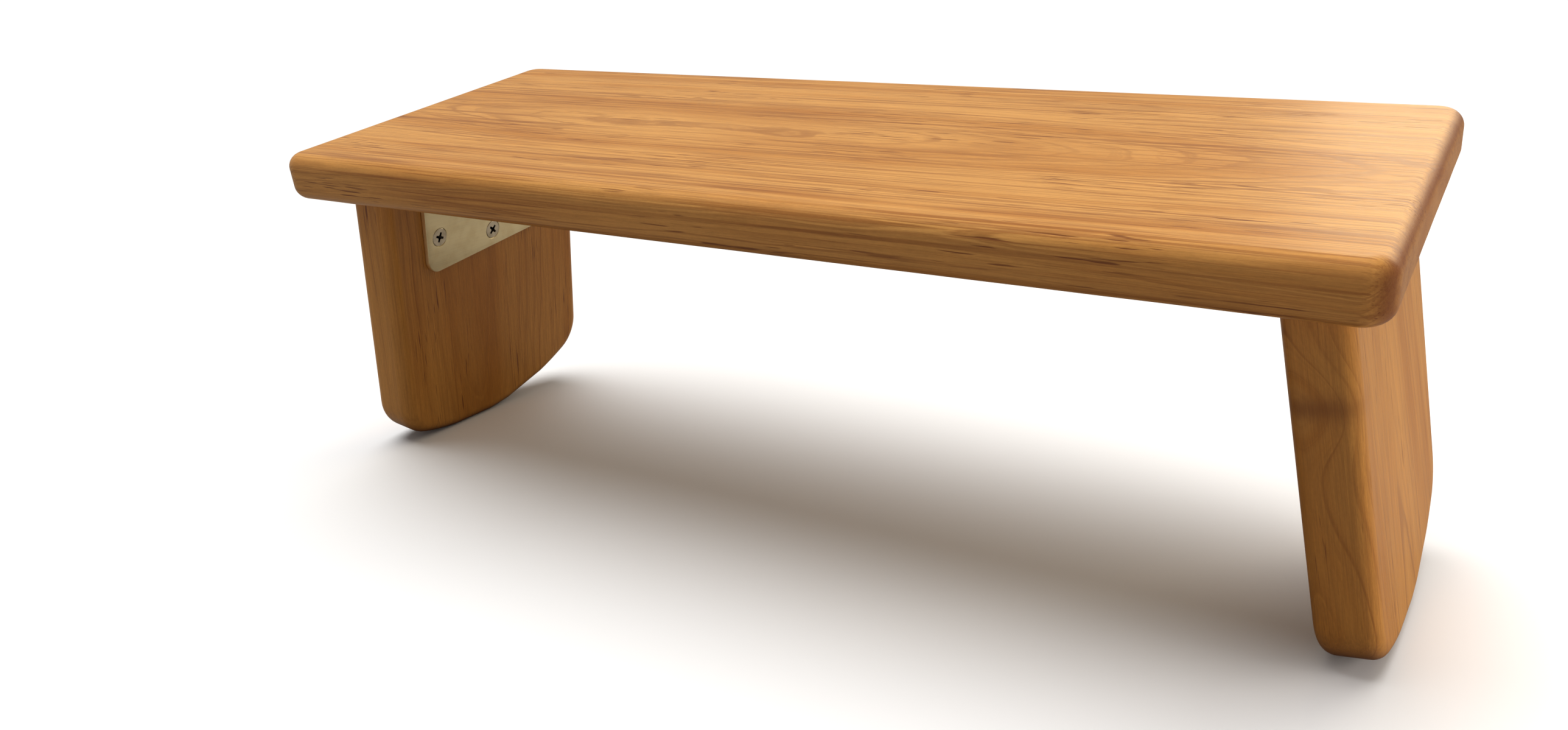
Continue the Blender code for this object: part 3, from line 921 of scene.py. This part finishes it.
def knuckle_notches():
    """Cuts the other leaf's places out of a rolled strip."""
    tree, start, end = new_group(
        "knuckle_notches",
        [("Geometry", "Geometry"), ("Count", "Int"), ("First", "Float"),
         ("Pitch", "Float"), ("Width", "Float"), ("Reach", "Float"),
         ("Height", "Float"), ("Finish", "Material")],
        [("Geometry", "Geometry")], "GeometryNodeTree")
    given = start.outputs
    row = put(tree, "GeometryNodeMeshLine",
              {"Count": given["Count"],
               "Start Location": vector_of(y=given["First"]),
               "Offset": vector_of(y=times(given["Pitch"], 2.0))},
              mode="OFFSET")
    size = vector_of(times(given["Reach"], 2.0), given["Width"],
                     given["Height"])
    block = put(tree, "GeometryNodeMeshCube", {"Size": size})
    blocks = put(tree, "GeometryNodeInstanceOnPoints",
                 {"Points": row.outputs[0], "Instance": block.outputs[0]})
    solid = put(tree, "GeometryNodeRealizeInstances",
                {"Geometry": blocks.outputs[0]})
    notched = put(tree, "GeometryNodeMeshBoolean",
                  {"Mesh 1": given["Geometry"], "Mesh 2": solid.outputs[0]},
                  operation="DIFFERENCE", solver="EXACT")
    close_tree(tree, start, end, notched.outputs[0])
    return tree


NOTCHES = knuckle_notches()
LEAF_KINDS = {"seat": {"Count": 2, "First": -PITCH},
              "leg": {"Count": 3, "First": -2 * PITCH}}
for leaf, matrix in LEAF_AXES.items():
    side, board, body = owner(leaf)
    blank = as_object("leaf_blank", leaf_blank())
    with_tree(blank, NOTCHES,
              {**LEAF_KINDS[board], "Pitch": PITCH, "Width": PITCH + CLEARANCE,
               "Reach": NOTCH_REACH, "Height": 4 * ROLL_RADIUS,
               "Finish": LEAF_BRASS})
    holes = holes_at(Matrix.Identity(4))
    cut(blank, holes)
    mesh = as_plain_mesh(blank, f"{side}_{board}_leaf", LEAF_BRASS, LEAF_SHARP)
    finish_piece(mesh, matrix, body, [leaf])
    discard(blank, holes)

# %% [markdown]
# ## Pins and tips
#
# The pin drops in from the front and its turned head stops it.  A plug with
# a matching head closes the other end.  Both are turned parts, so they are
# drawn as half a profile and spun.

# %% Pins and tips
HEAD_LOW, HEAD_HIGH = measured("right_hinge_pin", SEAT_AXES)
TIP_LOW, TIP_HIGH = measured("right_hinge_tip", SEAT_AXES)
BUTTON_RADIUS = (HEAD_HIGH.z - HEAD_LOW.z) / 2
TIP_PLUG = 0.0080
BUTTON_HEIGHT = (TIP_HIGH.y - TIP_LOW.y) - (TIP_PLUG + CLEARANCE)
BUTTON_CURVE = 0.45
BUTTON_GROOVE = 0.0005
BUTTON_STEP = 0.0003
PIN_BEVEL = 0.0004
LATHE_STEPS = 48


def button_profile(crown, foot):
    """Half the outline of a button head, from its crown to its foot."""
    up = 1 if foot > crown else -1
    curve = BUTTON_CURVE * abs(foot - crown)
    edge = BUTTON_RADIUS - curve
    rounded = [(edge + curve * sin(a), crown + up * curve * (1 - cos(a)))
               for a in (pi / 2 * i / 8 for i in range(9))]
    groove = foot - up * BUTTON_GROOVE
    return ([(edge * 0.6, crown)] + rounded
            + [(BUTTON_RADIUS, groove), (BUTTON_RADIUS - BUTTON_STEP, foot)])


def turned(profile, middle):
    """Spin a profile of (radius, distance along the pin) round the pin."""
    angles = [2 * pi * i / LATHE_STEPS for i in range(LATHE_STEPS)]
    rings = [[(middle.x + r * cos(a), y, middle.z + r * sin(a)) for a in angles]
             for r, y in profile]
    return loft(rings)


for name, _ in SIDES:
    pin_low, pin_high = measured(f"{name}_hinge_pin", SEAT_AXES)
    tip_low, tip_high = measured(f"{name}_hinge_tip", SEAT_AXES)
    middle = (pin_low + pin_high) / 2
    head_foot = pin_low.y + BUTTON_HEIGHT
    pin_profile = (button_profile(pin_low.y, head_foot)
                   + [(PIN_RADIUS, head_foot), (PIN_RADIUS, pin_high.y - PIN_BEVEL),
                      (PIN_RADIUS - PIN_BEVEL, pin_high.y)])
    tip_foot = tip_high.y - BUTTON_HEIGHT
    tip_profile = (button_profile(tip_high.y, tip_foot)
                   + [(PIN_RADIUS, tip_foot), (PIN_RADIUS, tip_low.y + PIN_BEVEL),
                      (PIN_RADIUS - PIN_BEVEL, tip_low.y)])
    for kind, profile in (("pin", pin_profile), ("tip", tip_profile)):
        turned_source = as_object("turned_source", turned(profile, middle), PIN_BRASS)
        mesh = as_plain_mesh(turned_source, f"{name}_{kind}", PIN_BRASS)
        discard(turned_source)
        finish_piece(mesh, SEAT_AXES, "seat", [f"{name}_hinge_{kind}"])

# %% [markdown]
# ## The boards
#
# Seat and legs are planks with a routed, hand-sanded edge.  A box with a
# bevel would be too even, so each board is lofted from rings round its
# outline: the rings follow the quarter circle of the router, and a small
# slow wobble, always inwards, is what sanding by hand leaves behind.

# %% Board edges
EDGE_STEPS = 10
SANDING = 0.00016
WAVE_ROUND, WAVE_ACROSS, WAVE_GAIN = 45.0, 90.0, 1.6
FLAT_MARGIN = 0.0006


def edge_stations(span, radius):
    """(depth, inset) across a board whose two edges are rounded."""
    quarter = [pi / 2 * i / EDGE_STEPS for i in range(EDGE_STEPS + 1)]
    first = [(0.0, radius + FLAT_MARGIN)]
    first += [(radius * (1 - cos(a)), radius * (1 - sin(a))) for a in quarter]
    return first + [(span - depth, inset) for depth, inset in reversed(first)]


def sanded(points, depth, seed):
    """Draw an outline in by a slow wobble of a fraction of a millimetre."""
    count = len(points)
    moved = []
    for i, (x, y) in enumerate(points):
        before, after = points[i - 1], points[(i + 1) % count]
        side = Vector((after[1] - before[1], before[0] - after[0]))
        wave = noise.noise(Vector((x * WAVE_ROUND + seed, y * WAVE_ROUND,
                                   depth * WAVE_ACROSS)))
        amount = SANDING * (0.5 + 0.5 * max(-1.0, min(1.0, WAVE_GAIN * wave)))
        inward = -side.normalized() * amount
        moved.append((x + inward.x, y + inward.y))
    return moved


def plank(outline, low, high, radius, seed):
    """A board lofted from its outline, its edges rounded and sanded."""
    rings = []
    for depth, inset in edge_stations(high - low, radius):
        ring = sanded(outline(depth, inset), depth, seed)
        rings.append([(x, y, low + depth) for x, y in ring])
    return loft(rings)


# %% Seat board
# The corner and the edge repeat the design's.
SEAT_CORNER = 0.0100
SEAT_EDGE = 0.00635
SEAT_SEED = 2.0
CORNER_STEPS = 14
LONG_STEPS = 76
SHORT_STEPS = 26


def seat_outline(_, inset):
    """A rounded rectangle, drawn in by inset, anticlockwise."""
    middle_y = (SEAT_LOW.y + SEAT_HIGH.y) / 2
    half_x = SEAT_HIGH.x - SEAT_CORNER
    half_y = (SEAT_HIGH.y - SEAT_LOW.y) / 2 - SEAT_CORNER
    points = []
    for turn, (sx, sy) in enumerate(((1, 1), (-1, 1), (-1, -1), (1, -1))):
        corner = arc((sx * half_x, middle_y + sy * half_y), SEAT_CORNER - inset,
                     turn * pi / 2, (turn + 1) * pi / 2, CORNER_STEPS)
        if points:
            steps = LONG_STEPS if turn % 2 else SHORT_STEPS
            points += run(points[-1], corner[0], steps)
        points += corner
    return points + run(points[-1], points[0], SHORT_STEPS)


seat_shape = plank(seat_outline, SEAT_LOW.z, SEAT_HIGH.z, SEAT_EDGE, SEAT_SEED)
seat_blank = as_object("seat_blank", seat_shape, SEAT_WOOD)
to_seat = SEAT_AXES.inverted()
seat_cutters = []
for leaf in ("left_hinge_seat_leaf", "right_hinge_seat_leaf"):
    seat_cutters.append(holes_at(to_seat @ LEAF_AXES[leaf]))
    cut(seat_blank, seat_cutters[-1])
mesh = as_plain_mesh(seat_blank, "seat_plank", SEAT_WOOD)
discard(seat_blank, *seat_cutters)
finish_piece(mesh, SEAT_AXES, "seat", ["seat_board"])

# %% [markdown]
# ## The legs
#
# A leg is cut square, except its top, which is cut on the slant that meets
# the seat, and its sole, which is an arc about a point in the seat's
# underside.  The arc has two short flats, so that the bench can stand with
# its seat leaning either way.

# %% Legs
# The first four sizes repeat the design's.
LEG_EDGE = 0.0058
SOLE_RADIUS = 0.1473
REST_FLAT = 0.0270
FOOT_CORNER = 0.0200
SOLE_STEPS = 9
LEG_SIDE_STEPS = 18
LEG_TOP_STEPS = 22
SEAT_TILT = acos(SEAT_UP.z)
LEG_SPLAY = asin(LEG_AXES["right"].col[2].z * SEAT_UP.z
                 + LEG_AXES["right"].col[2].y * SEAT_UP.y)
SOLE_CENTRE = -LEG_LOW.z * (1 - sin(LEG_SPLAY)) / cos(LEG_SPLAY)
print("tilt and splay, degrees:", round(SEAT_TILT * 180 / pi, 2),
      round(LEG_SPLAY * 180 / pi, 2))


def leg_outline(depth, inset):
    """The outline at a depth from the leg's inner face, anticlockwise."""
    half = LEG_HIGH.y
    level = LEG_LOW.z + depth
    top = (CLEARANCE - LEG_LOW.z + level * sin(LEG_SPLAY)) / cos(LEG_SPLAY)
    corner_y = half - FOOT_CORNER
    corner_angle = asin(corner_y / (SOLE_RADIUS - FOOT_CORNER))
    corner_x = SOLE_CENTRE + (SOLE_RADIUS - FOOT_CORNER) * cos(corner_angle)
    rest_roll = atan2(tan(SEAT_TILT), cos(LEG_SPLAY))
    flat = asin(REST_FLAT / 2 / SOLE_RADIUS)
    far, near = rest_roll + flat, rest_roll - flat
    centre, radius = (SOLE_CENTRE, 0.0), SOLE_RADIUS - inset
    front = arc((corner_x, -corner_y), FOOT_CORNER - inset, -pi / 2, -corner_angle,
                SOLE_STEPS)
    sole = (arc(centre, radius, -corner_angle, -far, SOLE_STEPS)[1:]
            + arc(centre, radius, -near, near, SOLE_STEPS)
            + arc(centre, radius, far, corner_angle, SOLE_STEPS)[:-1])
    back = arc((corner_x, corner_y), FOOT_CORNER - inset, corner_angle, pi / 2,
               SOLE_STEPS)
    top_back, top_front = (top, half - inset), (top, -half + inset)
    points = front + sole + back
    points += run(points[-1], top_back, LEG_SIDE_STEPS) + [top_back]
    points += run(top_back, top_front, LEG_TOP_STEPS) + [top_front]
    return points + run(top_front, points[0], LEG_SIDE_STEPS)


LEG_SEEDS = {"left": 11.0, "right": 23.0}
for name, _ in SIDES:
    leg_shape = plank(leg_outline, LEG_LOW.z, LEG_HIGH.z, LEG_EDGE, LEG_SEEDS[name])
    leg_blank = as_object("leg_blank", leg_shape, LEG_WOOD[name])
    holes = holes_at(Matrix.Identity(4))
    cut(leg_blank, holes)
    mesh = as_plain_mesh(leg_blank, f"{name}_leg_plank", LEG_WOOD[name])
    discard(leg_blank, holes)
    finish_piece(mesh, LEG_AXES[name], f"{name}_leg", [f"{name}_leg"])

discard(screw_source, hole_source)

# %% [markdown]
# ## The studio
#
# The bench stands on a plain floor under one broad soft light from above.  A
# warm window behind it slides a sheen along the seat, and a small panel close
# to the right end lifts the right leg's outer face.  The side towards the
# camera is left dim, so the front edges stay deep and warm.
#
# The floor and the world look white to the camera only.  To every other ray
# the floor is a warm grey and the world a dim warm white, so that neither
# floods the bench with light.  No light is seen by the camera, and the
# overhead light and the panel leave no highlights of their own.

# %% Floor
FLOOR_HALF = 30.0
FLOOR_SEEN = (0.80, 0.80, 0.80, 1.0)
FLOOR_FELT = (0.24, 0.21, 0.18, 1.0)

floor_shape = bmesh.new()
bmesh.ops.create_grid(floor_shape, x_segments=1, y_segments=1, size=FLOOR_HALF)
floor_material, floor_tree, floor_shader = new_material("white_floor")
floor_shader.inputs["Base Color"].default_value = FLOOR_SEEN
floor_shader.inputs["Roughness"].default_value = 0.9
floor_shader.inputs["Specular IOR Level"].default_value = 0.1
grey_floor = put(floor_tree, "ShaderNodeBsdfDiffuse", {"Color": FLOOR_FELT})
seen_straight = put(floor_tree, "ShaderNodeLightPath").outputs["Is Camera Ray"]
floor_mix = put(floor_tree, "ShaderNodeMixShader",
                {0: seen_straight, 1: grey_floor.outputs[0],
                 2: floor_shader.outputs[0]})
floor_out = floor_tree.nodes["Material Output"].inputs["Surface"]
floor_tree.links.new(floor_mix.outputs[0], floor_out)
floor = as_object("floor", floor_shape, floor_material)

# %% Lights
world = bpy.data.worlds.new("studio")
world.use_nodes = True
bpy.context.scene.world = world
sky = world.node_tree
sky.nodes.clear()
seen = put(sky, "ShaderNodeBackground",
           {"Color": (1.0, 1.0, 1.0, 1.0), "Strength": 1.0})
felt = put(sky, "ShaderNodeBackground",
           {"Color": (1.0, 0.97, 0.93, 1.0), "Strength": 0.30})
either = put(sky, "ShaderNodeMixShader",
             {0: put(sky, "ShaderNodeLightPath").outputs["Is Camera Ray"],
              1: felt.outputs[0], 2: seen.outputs[0]})
sky.links.new(either.outputs[0], put(sky, "ShaderNodeOutputWorld").inputs["Surface"])


def aim(light, position, target):
    """Place a light so that it points at a target."""
    light.location = position
    away = Vector(position) - Vector(target)
    light.rotation_mode = "QUATERNION"
    light.rotation_quaternion = away.to_track_quat("Z", "Y")


def add_light(name, kind, power, position, target=(0.0, 0.0, 0.1),
              colour=(1.0, 1.0, 1.0), **settings):
    """A light aimed at the bench."""
    data = bpy.data.lights.new(name, kind)
    data.energy = power
    data.color = colour
    for key, value in settings.items():
        setattr(data, key, value)
    light = bpy.data.objects.new(name, data)
    bpy.context.scene.collection.objects.link(light)
    light.visible_camera = False
    aim(light, position, target)
    return light


overhead = add_light("overhead", "SUN", power=3.5, position=(-0.55, 0.10, 2.4),
                     angle=radians(60.0))
overhead.visible_glossy = False
add_light("window", "AREA", power=5.2, position=(0.45, 1.15, 0.75),
          target=(0.2, 0.0, 0.16), colour=(1.0, 0.84, 0.60),
          shape="RECTANGLE", size=1.0, size_y=0.6)
side_panel = add_light("side_panel", "AREA", power=0.56, position=(0.50, 0.02, 0.11),
                       target=(0.2, 0.0, 0.1), colour=(1.0, 0.91, 0.84),
                       shape="RECTANGLE", size=0.22, size_y=0.16)
side_panel.visible_glossy = False
bpy.context.scene.view_settings.view_transform = "Standard"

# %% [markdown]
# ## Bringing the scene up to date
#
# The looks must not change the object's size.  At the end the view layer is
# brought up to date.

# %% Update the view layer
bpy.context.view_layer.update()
